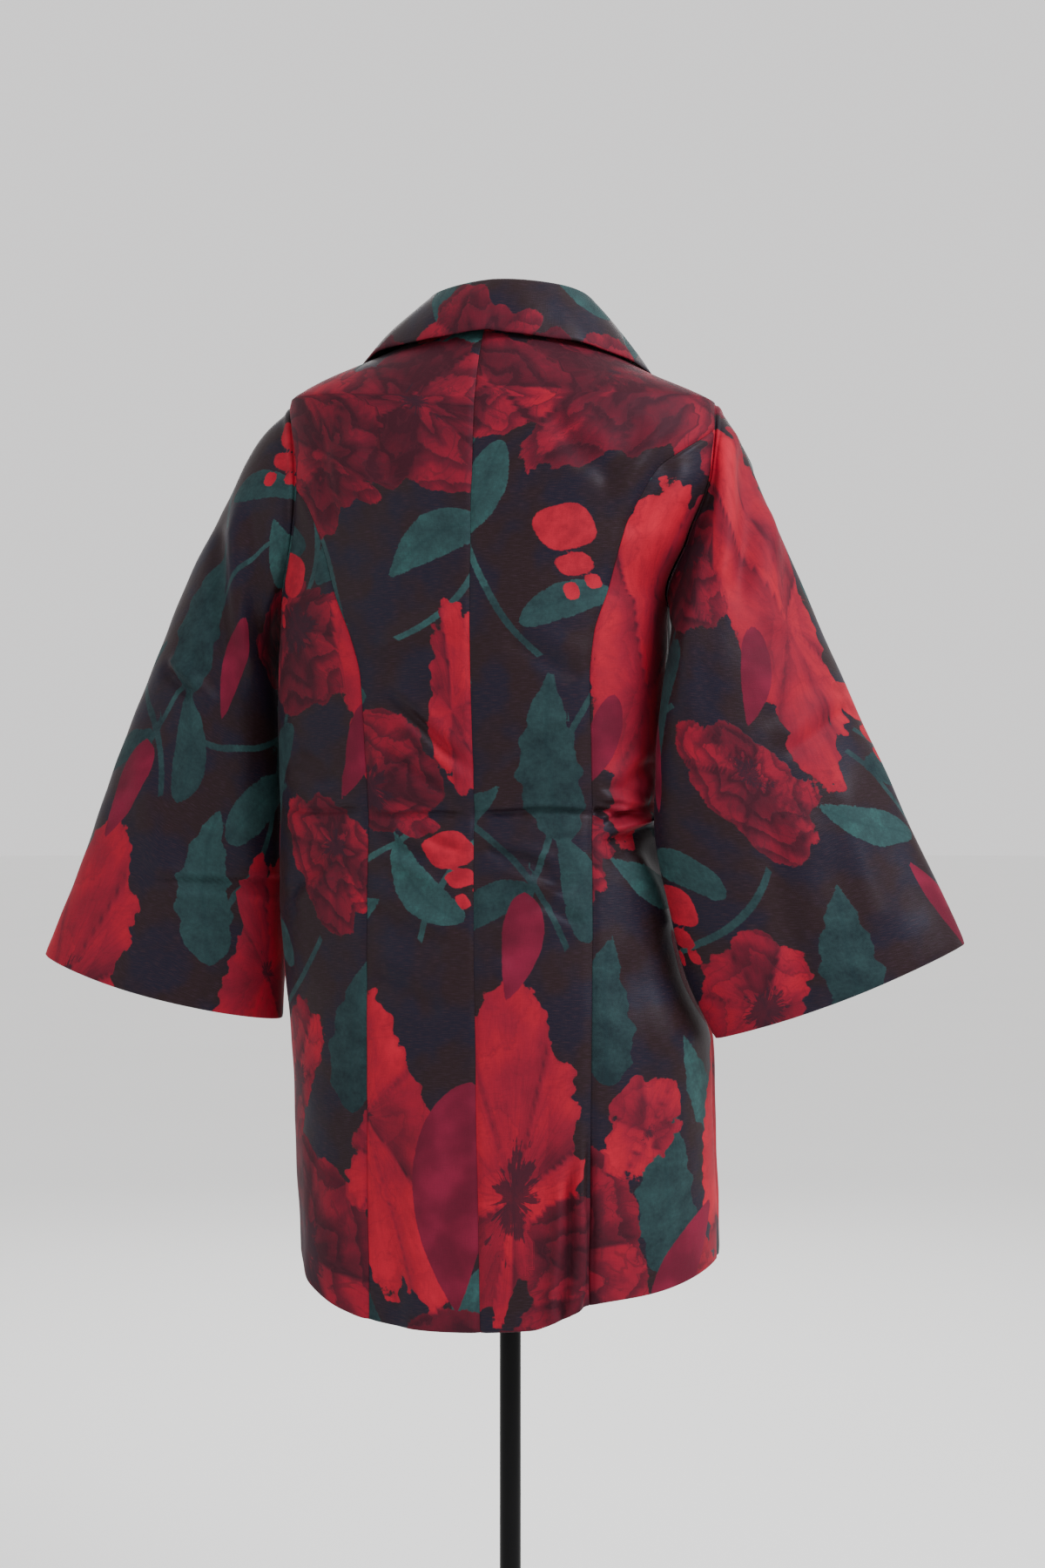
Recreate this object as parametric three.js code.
// A kimono jacket on a limbless dress form with a round-based stand.
// Millimetres. +Z is up, -Y is the jacket's front, +X is its wearer's left. The origin is the middle of the base.
// The jacket is a set of cloth walls on one shape: a stack of rings from the hem to the neckline.
import * as THREE from "three";

const CLOTH = 2; // thickness of the cloth and its lining
const SEAM_GAP = 0.3; // between two pieces that are sewn together
const DEGREE = Math.PI / 180;
const QUARTER = Math.PI / 2;

// The jacket's rings. level numbers them upwards and equals the height below the armhole. Above it a ring is tilted, so
// side_z, back_z and front_z are its heights. left, right, back and front are its reach from the pole.
const BODY = [
  { level: 600, side_z: 600, back_z: 600, front_z: 600, left: 192, right: 188, back: 122, front: 118, square: 2.2 },
  { level: 714, side_z: 714, back_z: 714, front_z: 714, left: 196, right: 184, back: 121, front: 117, square: 2.2 },
  { level: 800, side_z: 800, back_z: 800, front_z: 800, left: 201, right: 182, back: 118, front: 114, square: 2.2 },
  { level: 862, side_z: 862, back_z: 862, front_z: 862, left: 208, right: 160, back: 114, front: 110, square: 2.2 },
  { level: 912, side_z: 912, back_z: 912, front_z: 912, left: 211, right: 148, back: 109, front: 106, square: 2.2 },
  { level: 1000, side_z: 1000, back_z: 1000, front_z: 1000, left: 212, right: 138, back: 102, front: 101, square: 2.3 },
  { level: 1100, side_z: 1100, back_z: 1100, front_z: 1100, left: 211, right: 142, back: 112, front: 118, square: 2.4 },
  { level: 1185, side_z: 1185, back_z: 1185, front_z: 1185, left: 206, right: 143, back: 118, front: 124, square: 2.5 },
  { level: 1240, side_z: 1240, back_z: 1240, front_z: 1232, left: 203, right: 172, back: 118, front: 121, square: 2.5 },
  { level: 1300, side_z: 1300, back_z: 1298, front_z: 1272, left: 201, right: 197, back: 115, front: 116, square: 2.5 },
  { level: 1366, side_z: 1364, back_z: 1354, front_z: 1301, left: 197, right: 185, back: 107, front: 111, square: 2.5 },
  { level: 1371, side_z: 1367, back_z: 1357, front_z: 1303, left: 193, right: 180, back: 106, front: 110, square: 2.5 },
  { level: 1425, side_z: 1394, back_z: 1392, front_z: 1322, left: 140, right: 122, back: 92, front: 104, square: 2.3 },
  { level: 1480, side_z: 1418, back_z: 1424, front_z: 1340, left: 84, right: 80, back: 72, front: 96, square: 2.1 },
];
const HEM_LEVEL = BODY[0].level;
const NECK_LEVEL = BODY.at(-1).level;
const HEM_REACH = 200; // the dip of the hem fades out over this height
const TILT = { slope: 0.03, from: 1200, to: 1366 }; // the wearer's left shoulder sits higher

// Height of the hem all round. An angle of 0 is the centre back and 90 is the wearer's left.
const HEM = [
  { angle: -180, z: 620 },
  { angle: -120, z: 613 },
  { angle: -90, z: 612 },
  { angle: -60, z: 597 },
  { angle: -40, z: 589 },
  { angle: -20, z: 568 },
  { angle: 20, z: 563 },
  { angle: 45, z: 567 },
  { angle: 66, z: 588 },
  { angle: 80, z: 611 },
  { angle: 95, z: 618 },
  { angle: 180, z: 620 },
];

// The seams of the back: how far each lies to the wearer's left at a level, and the right princess seam to the right.
const SEAMS = [
  { level: 600, centre: 0, princess_left: 102, princess_right: 93 },
  { level: 800, centre: 5, princess_left: 104, princess_right: 93 },
  { level: 1000, centre: 10, princess_left: 107, princess_right: 90 },
  { level: 1115, centre: 10, princess_left: 110, princess_right: 90 },
  { level: 1152, centre: 10, princess_left: 119, princess_right: 94 },
  { level: 1191, centre: 10, princess_left: 135, princess_right: 106 },
  { level: 1238, centre: 9, princess_left: 151, princess_right: 120 },
  { level: 1266, centre: 9, princess_left: 164, princess_right: 133 },
  { level: 1296, centre: 8, princess_left: 190, princess_right: 149 },
  { level: 1338, centre: 8, princess_left: 201, princess_right: 189 },
  { level: 1480, centre: 7, princess_left: 201, princess_right: 200 },
];
const FRONT_OPENING = [
  { level: 600, half: 5 },
  { level: 1185, half: 3 },
  { level: 1480, half: 2 },
];

// The largest folds of the body, as soft troughs (negative) and ridges: place, reach and depth.
const FOLDS = [
  { name: "waist crease", angle: 4, level: 1000, wide: 62, tall: 11, depth: -4 },
  { name: "bulge over the right waist", angle: -62, level: 1024, wide: 16, tall: 15, depth: 4 },
  { name: "pinch at the right waist", angle: -70, level: 972, wide: 16, tall: 20, depth: -6 },
  { name: "hem wave left", angle: 62, level: 600, wide: 9, tall: 150, depth: 4 },
  { name: "hem wave beside the left seam", angle: 38, level: 600, wide: 8, tall: 120, depth: -3 },
  { name: "hem wave beside the right seam", angle: -33, level: 600, wide: 6, tall: 150, depth: 4 },
  { name: "front wave left", angle: 128, level: 600, wide: 12, tall: 190, depth: 5 },
  { name: "front wave right", angle: -128, level: 600, wide: 12, tall: 190, depth: 5 },
];

const ARMHOLE = { bottom: 1185, top: 1366 };
// How far the armhole reaches round from the side, for the wearer's left and right.
const ARMHOLE_REACH = {
  left: { back: 20 * DEGREE, front: 18 * DEGREE },
  right: { back: 15 * DEGREE, front: 18 * DEGREE },
};
const armReach = (side, end) => ARMHOLE_REACH[side > 0 ? "left" : "right"][end];
const ARMHOLE_MIDDLE = (ARMHOLE.top + ARMHOLE.bottom) / 2;
const ARMHOLE_HALF = (ARMHOLE.top - ARMHOLE.bottom) / 2;

// The sleeves, from the armhole to the cuff: the outer edge, the inner edge beside the body, and the reach behind and
// before the line between them.
const SLEEVES = {
  left: [
    { at: 0, outer_x: 201, outer_z: 1368, inner_x: 207, inner_y: 0, inner_z: 1185, back: 55, front: 57 },
    { at: 0.14, outer_x: 230, outer_z: 1343, inner_x: 212, inner_y: -8, inner_z: 1160, back: 60, front: 60 },
    { at: 0.28, outer_x: 262, outer_z: 1283, inner_x: 215, inner_y: -20, inner_z: 1115, back: 62, front: 60 },
    { at: 0.44, outer_x: 302, outer_z: 1212, inner_x: 216, inner_y: -26, inner_z: 1050, back: 60, front: 58 },
    { at: 0.6, outer_x: 340, outer_z: 1128, inner_x: 216, inner_y: -26, inner_z: 985, back: 57, front: 56 },
    { at: 0.75, outer_x: 377, outer_z: 1038, inner_x: 216, inner_y: -26, inner_z: 920, back: 53, front: 53 },
    { at: 0.88, outer_x: 410, outer_z: 951, inner_x: 217, inner_y: -20, inner_z: 863, back: 49, front: 50 },
    { at: 1, outer_x: 445, outer_z: 868, inner_x: 218, inner_y: -12, inner_z: 811, back: 46, front: 47 },
  ],
  right: [
    { at: 0, outer_x: 185, outer_z: 1358, inner_x: 144, inner_y: 0, inner_z: 1185, back: 55, front: 57 },
    { at: 0.14, outer_x: 203, outer_z: 1328, inner_x: 147, inner_y: 18, inner_z: 1160, back: 60, front: 60 },
    { at: 0.28, outer_x: 229, outer_z: 1271, inner_x: 144, inner_y: 36, inner_z: 1115, back: 62, front: 60 },
    { at: 0.44, outer_x: 262, outer_z: 1197, inner_x: 139, inner_y: 46, inner_z: 1050, back: 60, front: 58 },
    { at: 0.6, outer_x: 298, outer_z: 1112, inner_x: 137, inner_y: 48, inner_z: 990, back: 57, front: 56 },
    { at: 0.75, outer_x: 334, outer_z: 1033, inner_x: 150, inner_y: 48, inner_z: 925, back: 53, front: 53 },
    { at: 0.88, outer_x: 366, outer_z: 961, inner_x: 164, inner_y: 44, inner_z: 862, back: 49, front: 50 },
    { at: 1, outer_x: 398, outer_z: 889, inner_x: 188, inner_y: 34, inner_z: 807, back: 46, front: 47 },
  ],
};
const CUFF_SAG = 6; // the middle of the cuff hangs lower than its corners
const SET_IN = 0.34; // share of the sleeve over which it takes the armhole's shape
const UNDERARM_CLEAR = 4; // the underarm stands off the body by this, at CLEAR_AT along the sleeve
const CLEAR_AT = 0.06;

// The collar, by angle from the centre back: the crest of its fold, and the body level and clearance of its outer edge.
const COLLAR = [
  { angle: 0, fold_radius: 66, fold_z: 1463, edge_level: 1457, edge_lift: 9 },
  { angle: 45, fold_radius: 69, fold_z: 1461, edge_level: 1446, edge_lift: 6 },
  { angle: 90, fold_radius: 74, fold_z: 1455, edge_level: 1428, edge_lift: 3.4 },
  { angle: 135, fold_radius: 85, fold_z: 1411, edge_level: 1392, edge_lift: 3.4 },
  { angle: 160, fold_radius: 96, fold_z: 1372, edge_level: 1372, edge_lift: 3.6 },
  { angle: 175, fold_radius: 101, fold_z: 1358, edge_level: 1372, edge_lift: 3.8 },
];
const COLLAR_END = 172 * DEGREE;
const COLLAR_ROLL = 5; // radius of the fold
const FALL_BOW = 3; // how far the fall bows outwards

// The dress form's rings, with the same columns.
const FORM = [
  { level: 760, side_z: 760, back_z: 760, front_z: 760, left: 152, right: 140, back: 102, front: 92, square: 2.2 },
  { level: 800, side_z: 800, back_z: 800, front_z: 800, left: 156, right: 144, back: 106, front: 95, square: 2.2 },
  { level: 850, side_z: 850, back_z: 850, front_z: 850, left: 148, right: 137, back: 102, front: 92, square: 2.2 },
  { level: 910, side_z: 910, back_z: 910, front_z: 910, left: 130, right: 119, back: 92, front: 86, square: 2.2 },
  { level: 980, side_z: 980, back_z: 980, front_z: 980, left: 119, right: 108, back: 82, front: 84, square: 2.2 },
  { level: 1060, side_z: 1060, back_z: 1060, front_z: 1060, left: 124, right: 113, back: 88, front: 94, square: 2.2 },
  { level: 1160, side_z: 1160, back_z: 1160, front_z: 1160, left: 138, right: 127, back: 100, front: 112, square: 2.3 },
  { level: 1240, side_z: 1240, back_z: 1240, front_z: 1236, left: 148, right: 136, back: 102, front: 104, square: 2.4 },
  { level: 1310, side_z: 1308, back_z: 1304, front_z: 1278, left: 162, right: 146, back: 98, front: 94, square: 2.4 },
  { level: 1366, side_z: 1354, back_z: 1344, front_z: 1300, left: 174, right: 156, back: 92, front: 88, square: 2.4 },
  { level: 1400, side_z: 1378.4, back_z: 1370, front_z: 1312, left: 168, right: 147, back: 87, front: 83, square: 2.4 },
  { level: 1425, side_z: 1391, back_z: 1387, front_z: 1328, left: 140, right: 122, back: 80, front: 77, square: 2.3 },
  { level: 1452, side_z: 1402.8, back_z: 1403, front_z: 1342, left: 112, right: 101, back: 71, front: 66, square: 2.2 },
  { level: 1470, side_z: 1410, back_z: 1412, front_z: 1364, left: 88, right: 82, back: 64, front: 60, square: 2.1 },
  { level: 1485, side_z: 1419, back_z: 1420, front_z: 1394, left: 65, right: 62, back: 58, front: 58, square: 2 },
  { level: 1500, side_z: 1434, back_z: 1434, front_z: 1434, left: 57, right: 57, back: 57, front: 57, square: 2 },
];
const FORM_BOTTOM = FORM[0].level;
const FORM_TOP = FORM.at(-1).side_z;
const NECK_CAP = { radius: 58, thick: 9, edge: 3 };

const POLE_RADIUS = 9.5;
const FIT = 0.3; // clearance of the pole in its sockets
const SOCKET = { plate_radius: 46, plate_thick: 5, tube_radius: 15, depth: 46 };
const BASE = { radius: 170, rim: 7, plate: 12, boss_radius: 24, boss_height: 44, floor: 15, flat_radius: 120 };

// How finely the curved walls are faceted.
const SKIRT_LEVELS = [600, 630, 662, 696, 732, 768, 800, 830, 862, 890, 918, 946, 970, 985, 1000, 1015, 1034];
const CHEST_LEVELS = [1062, 1092, 1124, 1156];
const SHOULDER_LEVELS = [1371, 1400, 1425, 1452, 1480];
const ARM_STEPS = 12; // from the shoulder to the underarm, on the armhole and on the sleeve
const SLEEVE_ROWS = 15;
const COLLAR_STEPS = 34;
const FORM_COLUMNS = 32;
const ROUND_STEPS = 40;

const cloth = (color, roughness = 0.5) => new THREE.MeshStandardMaterial({ color, roughness, metalness: 0 });
const MATERIALS = {
  back: () => cloth(0x5a2028),
  side: () => cloth(0x2d3f42),
  front: () => cloth(0x4a2a30),
  sleeve: () => cloth(0x7a1f2a),
  collar: () => cloth(0x8c2430),
  form: () => cloth(0xd8cfc0, 0.9),
  stand: () => new THREE.MeshStandardMaterial({ color: 0x141414, roughness: 0.4, metalness: 0.6 }),
};

// Value of a table's column, on a monotone cubic through its rows, which never swings past them.
function column(table, key, at, by = "level") {
  const last = table.length - 1;
  if (at <= table[0][by]) return table[0][key];
  if (at >= table[last][by]) return table[last][key];
  let row = 0;
  while (at > table[row + 1][by]) row += 1;
  const span = (i) => table[i + 1][by] - table[i][by];
  const rise = (i) => (table[i + 1][key] - table[i][key]) / span(i);
  const slope = (i) => {
    if (i === 0) return rise(0);
    if (i === last) return rise(last - 1);
    const before = rise(i - 1);
    const after = rise(i);
    if (before * after <= 0) return 0;
    const w1 = 2 * span(i) + span(i - 1);
    const w2 = span(i) + 2 * span(i - 1);
    return (w1 + w2) / (w1 / before + w2 / after);
  };
  const h = span(row);
  const t = (at - table[row][by]) / h;
  const y0 = table[row][key];
  const y1 = table[row + 1][key];
  const bend = (1 + 2 * t) * (1 - t) ** 2 * y0 + t * t * (3 - 2 * t) * y1;
  return bend + h * t * (1 - t) * ((1 - t) * slope(row) - t * slope(row + 1));
}

const smooth = (t) => {
  const u = Math.min(1, Math.max(0, t));
  return u * u * (3 - 2 * u);
};

// Radius of a ring that reaches `across` to the side and `along` to the front or back. A higher square is boxier.
const ringRadius = (angle, across, along, square) =>
  ((Math.abs(Math.sin(angle)) / across) ** square + (Math.abs(Math.cos(angle)) / along) ** square) ** (-1 / square);

// Height on a tilted ring, from its heights at the side and at the front or back.
const ringHeight = (angle, side, end) => side + (end - side) * Math.cos(angle) ** 2;

const tilt = (level) => TILT.slope * smooth((level - TILT.from) / (TILT.to - TILT.from));

function foldDepth(angle, level) {
  let depth = 0;
  for (const fold of FOLDS) {
    const across = (angle / DEGREE - fold.angle) / fold.wide;
    const up = (level - fold.level) / fold.tall;
    depth += fold.depth * Math.exp(-(across ** 4) - up * up);
  }
  return depth;
}

// A point of the jacket body's outer face.
function bodyPoint(angle, level) {
  const end = Math.cos(angle) >= 0 ? "back" : "front";
  const across = column(BODY, angle >= 0 ? "left" : "right", level);
  const square = column(BODY, "square", level);
  const radius = ringRadius(angle, across, column(BODY, end, level), square) + foldDepth(angle, level);
  const height = ringHeight(angle, column(BODY, "side_z", level), column(BODY, end + "_z", level));
  const hem = column(HEM, "z", angle / DEGREE, "angle") - HEM_LEVEL;
  const fade = Math.max(0, 1 - (level - HEM_LEVEL) / HEM_REACH) ** 2;
  const x = radius * Math.sin(angle);
  return new THREE.Vector3(x, radius * Math.cos(angle), height + hem * fade + x * tilt(level));
}

// Unit normal of a surface(u, v), from its neighbours. Its side is the one that u turned into v points to.
function normalOf(surface, u, v, du, dv) {
  const across = surface(u + du, v).sub(surface(u - du, v));
  const along = surface(u, v + dv).sub(surface(u, v - dv));
  return across.cross(along).normalize();
}

const bodyNormal = (angle, level) => normalOf(bodyPoint, angle, level, 0.002, 0.4).negate();

// Angle at which the body's ring lies `x` to the wearer's left.
function angleAtX(level, x) {
  let low = -QUARTER;
  let high = QUARTER;
  for (let i = 0; i < 40; i += 1) {
    const middle = (low + high) / 2;
    if (bodyPoint(middle, level).x < x) low = middle;
    else high = middle;
  }
  return (low + high) / 2;
}

const centreSeam = (level) => angleAtX(level, column(SEAMS, "centre", level));
const princessSeam = (side, level) =>
  side > 0
    ? angleAtX(level, column(SEAMS, "princess_left", level))
    : angleAtX(level, -column(SEAMS, "princess_right", level));

// Angle at which the body's cloth stops: at the armhole, or else at the side seam or the shoulder seam.
function sideEdge(side, level, end) {
  const t = (level - ARMHOLE_MIDDLE) / (ARMHOLE_HALF + SEAM_GAP);
  const width = Math.abs(t) < 1 ? (armReach(side, end) + SEAM_GAP / BODY[0].left) * Math.sqrt(1 - t * t) : 0;
  return side * (QUARTER + (end === "back" ? -width : width));
}

// A point of the armhole: turn 0 is the shoulder, 90 degrees the back and 180 the underarm.
function armholePoint(side, turn) {
  const width = armReach(side, Math.sin(turn) >= 0 ? "back" : "front");
  const angle = side * (QUARTER - width * Math.sin(turn));
  const level = ARMHOLE_MIDDLE + ARMHOLE_HALF * Math.cos(turn);
  return { point: bodyPoint(angle, level), normal: bodyNormal(angle, level) };
}

// A point of a sleeve's outer face. at runs from 0 at the armhole to 1 at the cuff.
function sleevePoint(side, turn, at) {
  const table = SLEEVES[side > 0 ? "left" : "right"];
  const tube = (where) => {
    const edge = (key) => column(table, key, where, "at");
    const outward = (1 + Math.cos(turn)) / 2;
    const x = edge("inner_x") + (edge("outer_x") - edge("inner_x")) * outward;
    const z = edge("inner_z") + (edge("outer_z") - edge("inner_z")) * outward;
    const sag = CUFF_SAG * Math.sin(turn) ** 2 * where ** 3;
    const reach = edge(Math.sin(turn) >= 0 ? "back" : "front");
    const y = reach * Math.sin(turn) + edge("inner_y") * (1 - outward);
    return new THREE.Vector3(side * x, y, z - sag);
  };
  const armhole = armholePoint(side, turn);
  const away = armhole.point.clone().sub(tube(0));
  const under = (1 - Math.cos(turn)) / 2;
  const clear = UNDERARM_CLEAR * under * smooth(at / CLEAR_AT) * (1 - smooth((at - CLEAR_AT) / SET_IN));
  return tube(at).addScaledVector(away, 1 - smooth(at / SET_IN)).addScaledVector(armhole.normal, clear);
}

const sleeveNormal = (side, turn, at) =>
  normalOf((u, v) => sleevePoint(side, u, v), turn, Math.max(at, 0.004), 0.01, 0.004).multiplyScalar(-side);

// Inward step at the armhole, so that the body's wall and the sleeve's wall end on one mitre.
function mitre(own, other) {
  const share = Math.min(1, Math.max(0, 1 + 2 * own.dot(other)));
  const sum = own.clone().addScaledVector(other, share);
  return sum.multiplyScalar(-CLOTH / (1 + share * own.dot(other)));
}

// A closed wall between two grids of points, outer[row][column] and inner[row][column].
function wall(outer, inner, ring = false) {
  const rows = outer.length;
  const columns = outer[0].length;
  const positions = [...outer.flat(), ...inner.flat()].flatMap((p) => [p.x, p.y, p.z]);
  const faces = [];
  const id = (skin, row, col) => skin * rows * columns + row * columns + (col % columns);
  const quad = (a, b, c, d) => faces.push(a, b, c, a, c, d);
  const last = ring ? columns : columns - 1;
  for (let r = 0; r < rows - 1; r += 1) {
    for (let c = 0; c < last; c += 1) {
      quad(id(0, r, c), id(0, r, c + 1), id(0, r + 1, c + 1), id(0, r + 1, c));
      quad(id(1, r, c), id(1, r + 1, c), id(1, r + 1, c + 1), id(1, r, c + 1));
    }
    if (ring) continue;
    quad(id(0, r, 0), id(0, r + 1, 0), id(1, r + 1, 0), id(1, r, 0));
    quad(id(0, r, last), id(1, r, last), id(1, r + 1, last), id(0, r + 1, last));
  }
  for (let c = 0; c < last; c += 1) {
    quad(id(0, 0, c), id(1, 0, c), id(1, 0, c + 1), id(0, 0, c + 1));
    quad(id(0, rows - 1, c), id(0, rows - 1, c + 1), id(1, rows - 1, c + 1), id(1, rows - 1, c));
  }
  return closedGeometry(positions, faces);
}

// Geometry from points and faces, with the faces turned out if they enclose a negative volume.
function closedGeometry(positions, faces) {
  const at = (i) => new THREE.Vector3(...positions.slice(3 * i, 3 * i + 3));
  let volume = 0;
  for (let i = 0; i < faces.length; i += 3)
    volume += at(faces[i]).dot(at(faces[i + 1]).cross(at(faces[i + 2])));
  if (volume < 0) faces.reverse();
  const geometry = new THREE.BufferGeometry();
  geometry.setAttribute("position", new THREE.Float32BufferAttribute(positions, 3));
  geometry.setIndex(faces);
  geometry.computeVertexNormals();
  return geometry;
}

// The levels of a panel's rows. Those beside the armhole match the sleeve's columns.
function panelLevels() {
  const reach = ARMHOLE_HALF + SEAM_GAP;
  const beside = Array.from(
    { length: ARM_STEPS + 1 },
    (_, k) => ARMHOLE_MIDDLE - reach * Math.cos((Math.PI * k) / ARM_STEPS),
  );
  return [...SKIRT_LEVELS, ...CHEST_LEVELS, ...beside, ...SHOULDER_LEVELS];
}

// The level at which a side panel has narrowed to `width` between the princess seam and the armhole.
function tipLevel(side, width) {
  let low = ARMHOLE.bottom;
  let high = ARMHOLE.top;
  for (let i = 0; i < 40; i += 1) {
    const level = (low + high) / 2;
    const between = side * (sideEdge(side, level, "back") - princessSeam(side, level));
    if (between * column(BODY, "left", level) > width) low = level;
    else high = level;
  }
  return (low + high) / 2;
}

// One panel of the body between two seams, each given as its angle at a level.
function panel(levels, from, to, columns, side, end) {
  const outer = [];
  const inner = [];
  for (const level of levels) {
    const halfGap = SEAM_GAP / 2 / column(BODY, "back", level);
    const start = from(level) + halfGap;
    const width = to(level) - halfGap - start;
    const besideArm = Math.abs(level - ARMHOLE_MIDDLE) < ARMHOLE_HALF + SEAM_GAP;
    const points = [];
    const lining = [];
    for (let c = 0; c <= columns; c += 1) {
      const angle = start + (width * c) / columns;
      const point = bodyPoint(angle, level);
      const edge = besideArm && Math.abs(angle - sideEdge(side, level, end)) < 2.5 * halfGap;
      points.push(point);
      lining.push(point.clone().add(edge ? armholeStep(side, angle, level) : plainStep(angle, level)));
    }
    outer.push(points);
    inner.push(lining);
  }
  return wall(outer, inner);
}

const plainStep = (angle, level) => bodyNormal(angle, level).multiplyScalar(-CLOTH);

// Inward step of the body's wall on the armhole's edge.
function armholeStep(side, angle, level) {
  const cosine = Math.min(1, Math.max(-1, (level - ARMHOLE_MIDDLE) / ARMHOLE_HALF));
  const turn = Math.acos(cosine) * (Math.abs(angle) < QUARTER ? 1 : -1);
  return mitre(bodyNormal(angle, level), sleeveNormal(side, turn, 0));
}

const named = (name, geometry, material) => {
  const mesh = new THREE.Mesh(geometry, material);
  mesh.name = name;
  return mesh;
};

function backPanels() {
  const meshes = [];
  for (const [word, side] of [["left", 1], ["right", -1]]) {
    const tip = tipLevel(side, 2);
    const corner = tipLevel(side, 0);
    const levels = [...panelLevels(), tip, corner].sort((a, b) => a - b);
    const seam = (level) => princessSeam(side, level);
    const armSide = (level) => sideEdge(side, level, "back");
    const outerEdge = (level) => (level < corner ? seam(level) : armSide(level));
    const sideLevels = levels.filter((level) => level <= tip);
    const centre = side > 0
      ? panel(levels, centreSeam, outerEdge, 8, side, "back")
      : panel(levels, outerEdge, centreSeam, 8, side, "back");
    const besideIt = side > 0
      ? panel(sideLevels, seam, armSide, 4, side, "back")
      : panel(sideLevels, armSide, seam, 4, side, "back");
    meshes.push(named("back_centre_" + word, centre, MATERIALS.back()));
    meshes.push(named("back_side_" + word, besideIt, MATERIALS.side()));
  }
  return meshes;
}

function frontPanels() {
  const opening = (level) => Math.PI - column(FRONT_OPENING, "half", level) / column(BODY, "front", level);
  const armSide = (side) => (level) => sideEdge(side, level, "front");
  const left = panel(panelLevels(), armSide(1), opening, 9, 1, "front");
  const right = panel(panelLevels(), (level) => -opening(level), armSide(-1), 9, -1, "front");
  return [named("front_left", left, MATERIALS.front()), named("front_right", right, MATERIALS.front())];
}

function sleeve(word, side) {
  const outer = [];
  const inner = [];
  for (let r = 0; r <= SLEEVE_ROWS; r += 1) {
    const at = r / SLEEVE_ROWS;
    const points = [];
    const lining = [];
    for (let c = 0; c < 2 * ARM_STEPS; c += 1) {
      const turn = (Math.PI * c) / ARM_STEPS;
      const normal = sleeveNormal(side, turn, at);
      const point = sleevePoint(side, turn, at);
      const body = armholePoint(side, turn).normal;
      if (r === 0) point.addScaledVector(body, SEAM_GAP + 0.1);
      points.push(point);
      lining.push(point.clone().add(r === 0 ? mitre(normal, body) : normal.multiplyScalar(-CLOTH)));
    }
    outer.push(points);
    inner.push(lining);
  }
  return named("sleeve_" + word, wall(outer, inner, true), MATERIALS.sleeve());
}

// The collar's section at an angle, as radius and height: up the stand, over the fold and down the fall.
function collarSection(angle) {
  const by = (key) => column(COLLAR, key, Math.abs(angle) / DEGREE, "angle");
  const foot = bodyPoint(angle, NECK_LEVEL);
  const seat = bodyPoint(angle, by("edge_level"));
  const away = bodyNormal(angle, by("edge_level"));
  const outward = Math.hypot(away.x, away.y);
  const start = new THREE.Vector2(Math.hypot(foot.x, foot.y), foot.z + SEAM_GAP);
  const roll = new THREE.Vector2(by("fold_radius"), by("fold_z") - COLLAR_ROLL);
  const edge = new THREE.Vector2(
    Math.hypot(seat.x, seat.y) + outward * by("edge_lift"),
    seat.z + away.z * by("edge_lift"),
  );
  const around = (turn) => roll.clone().add(new THREE.Vector2(Math.cos(turn), Math.sin(turn)).multiplyScalar(COLLAR_ROLL));
  const shoulder = around(0.15 * Math.PI);
  const bow = edge.clone().sub(shoulder).normalize();
  bow.set(-bow.y, bow.x).multiplyScalar(FALL_BOW);
  const fall = (t) => shoulder.clone().lerp(edge, t).addScaledVector(bow, 4 * t * (1 - t));
  return [
    start,
    start.clone().lerp(around(Math.PI), 0.5),
    around(Math.PI),
    around(0.75 * Math.PI),
    around(0.5 * Math.PI),
    around(0.3 * Math.PI),
    shoulder,
    fall(0.33),
    fall(0.67),
    edge,
  ];
}

function collar() {
  const outer = [];
  const inner = [];
  for (let s = 0; s <= COLLAR_STEPS; s += 1) {
    const angle = COLLAR_END * ((2 * s) / COLLAR_STEPS - 1);
    const section = collarSection(angle);
    const turnOut = new THREE.Vector3(Math.sin(angle), Math.cos(angle), 0);
    const place = (p) => turnOut.clone().multiplyScalar(p.x).setZ(p.y);
    const within = section.map((p, i) => {
      const ahead = section[Math.min(i + 1, section.length - 1)];
      const along = ahead.clone().sub(section[Math.max(i - 1, 0)]).normalize();
      return p.clone().add(new THREE.Vector2(along.y, -along.x).multiplyScalar(CLOTH));
    });
    outer.push(section.map(place));
    inner.push(within.map(place));
  }
  return named("collar", wall(outer, inner), MATERIALS.collar());
}

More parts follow.
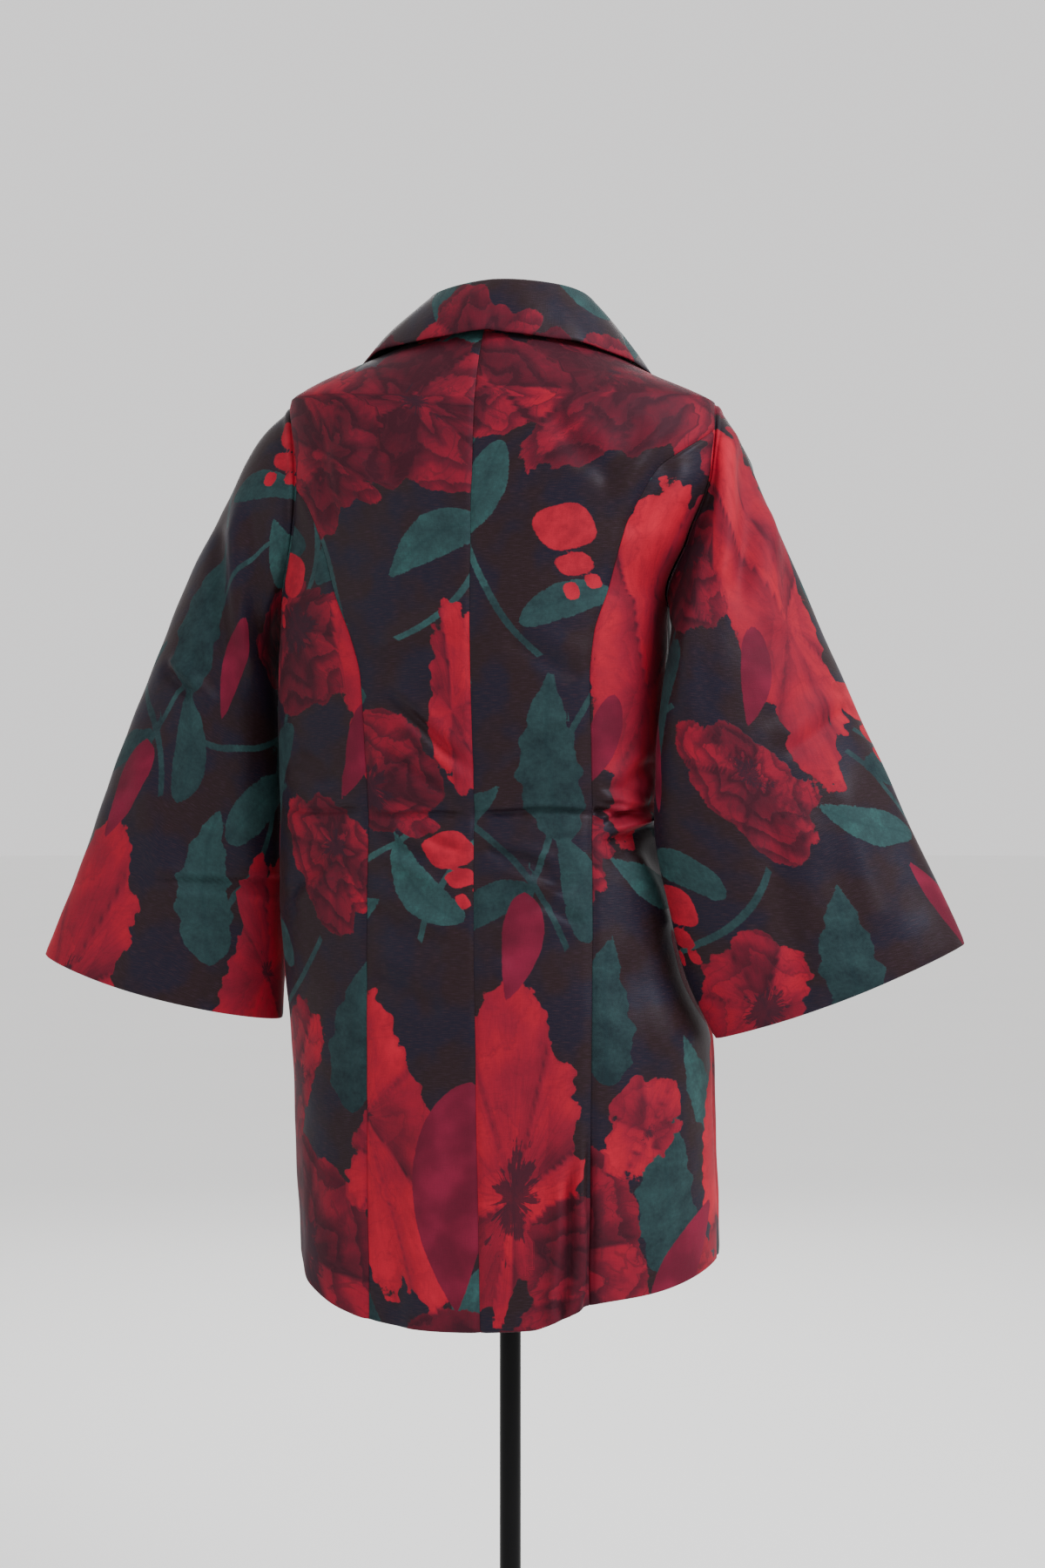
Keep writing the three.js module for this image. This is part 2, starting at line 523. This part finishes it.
// The torso is closed: a flat bottom, rings up to the neck, and a flat top under the cap.
function torso() {
  const positions = [0, 0, FORM_BOTTOM, 0, 0, FORM_TOP];
  const faces = [];
  const id = (row, col) => 2 + row * FORM_COLUMNS + (col % FORM_COLUMNS);
  FORM.forEach((ring, row) => {
    for (let c = 0; c < FORM_COLUMNS; c += 1) {
      const angle = (2 * Math.PI * c) / FORM_COLUMNS;
      const end = Math.cos(angle) >= 0 ? "back" : "front";
      const radius = ringRadius(angle, Math.sin(angle) >= 0 ? ring.left : ring.right, ring[end], ring.square);
      const x = radius * Math.sin(angle);
      const neck = ring === FORM.at(-1) ? 0 : x * tilt(ring.level);
      positions.push(x, radius * Math.cos(angle), ringHeight(angle, ring.side_z, ring[end + "_z"]) + neck);
      if (row > 0) {
        const corners = [id(row - 1, c), id(row, c), id(row, c + 1), id(row - 1, c + 1)];
        faces.push(corners[0], corners[1], corners[2], corners[0], corners[2], corners[3]);
      }
    }
  });
  for (let c = 0; c < FORM_COLUMNS; c += 1) {
    faces.push(0, id(0, c), id(0, c + 1));
    faces.push(1, id(FORM.length - 1, c + 1), id(FORM.length - 1, c));
  }
  return named("form_torso", closedGeometry(positions, faces), MATERIALS.form());
}

// A turned piece round the pole's axis, from its profile of [radius, height] pairs, which starts and ends on the axis.
function turned(name, profile, material, bottom = 0) {
  const points = profile.map(([radius, height]) => new THREE.Vector2(radius, height));
  const mesh = named(name, new THREE.LatheGeometry(points, ROUND_STEPS), material);
  mesh.rotation.x = QUARTER;
  mesh.position.z = bottom;
  return mesh;
}

function neckCap() {
  const { radius, thick, edge } = NECK_CAP;
  const profile = [
    [0, 0],
    [radius - 1, 0],
    [radius, 1],
    [radius, thick - edge],
    [radius - edge * 0.3, thick - edge * 0.3],
    [radius - edge, thick],
    [0, thick + 1],
  ];
  return turned("form_neck_cap", profile, MATERIALS.form(), FORM_TOP + FIT);
}

// The plate under the torso and the tube that the pole goes into. Its height counts down from the torso.
function socket() {
  const { plate_radius: plate, plate_thick: thick, tube_radius: tube, depth } = SOCKET;
  const hole = POLE_RADIUS + FIT;
  const profile = [
    [0, -thick],
    [hole, -thick],
    [hole, -depth],
    [tube, -depth],
    [tube, -thick],
    [plate, -thick],
    [plate, 0],
    [0, 0],
  ];
  return turned("form_socket", profile, MATERIALS.stand(), FORM_BOTTOM - FIT);
}

function pole() {
  const bottom = BASE.floor + FIT;
  const top = FORM_BOTTOM - FIT - SOCKET.plate_thick - FIT;
  const profile = [
    [0, bottom],
    [POLE_RADIUS, bottom],
    [POLE_RADIUS, top],
    [0, top],
  ];
  return turned("pole", profile, MATERIALS.stand());
}

// A low round foot with a boss, and in the boss the hole for the pole.
function base() {
  const hole = POLE_RADIUS + FIT;
  const profile = [
    [0, 0],
    [BASE.radius - 1.5, 0],
    [BASE.radius, 1.5],
    [BASE.radius, BASE.rim - 2],
    [BASE.radius - 3, BASE.rim],
    [BASE.flat_radius, BASE.rim + 2.5],
    [BASE.boss_radius + 8, BASE.plate],
    [BASE.boss_radius, BASE.plate + 6],
    [BASE.boss_radius - 6, BASE.boss_height - 2],
    [BASE.boss_radius - 8, BASE.boss_height],
    [hole, BASE.boss_height],
    [hole, BASE.floor],
    [0, BASE.floor],
  ];
  return turned("base", profile, MATERIALS.stand());
}

const jacket = new THREE.Group();
jacket.add(...backPanels(), ...frontPanels(), sleeve("left", 1), sleeve("right", -1), collar());
const stand = new THREE.Group();
stand.add(torso(), neckCap(), socket(), pole(), base());
const part = new THREE.Group();
part.add(jacket, stand);

export default part;
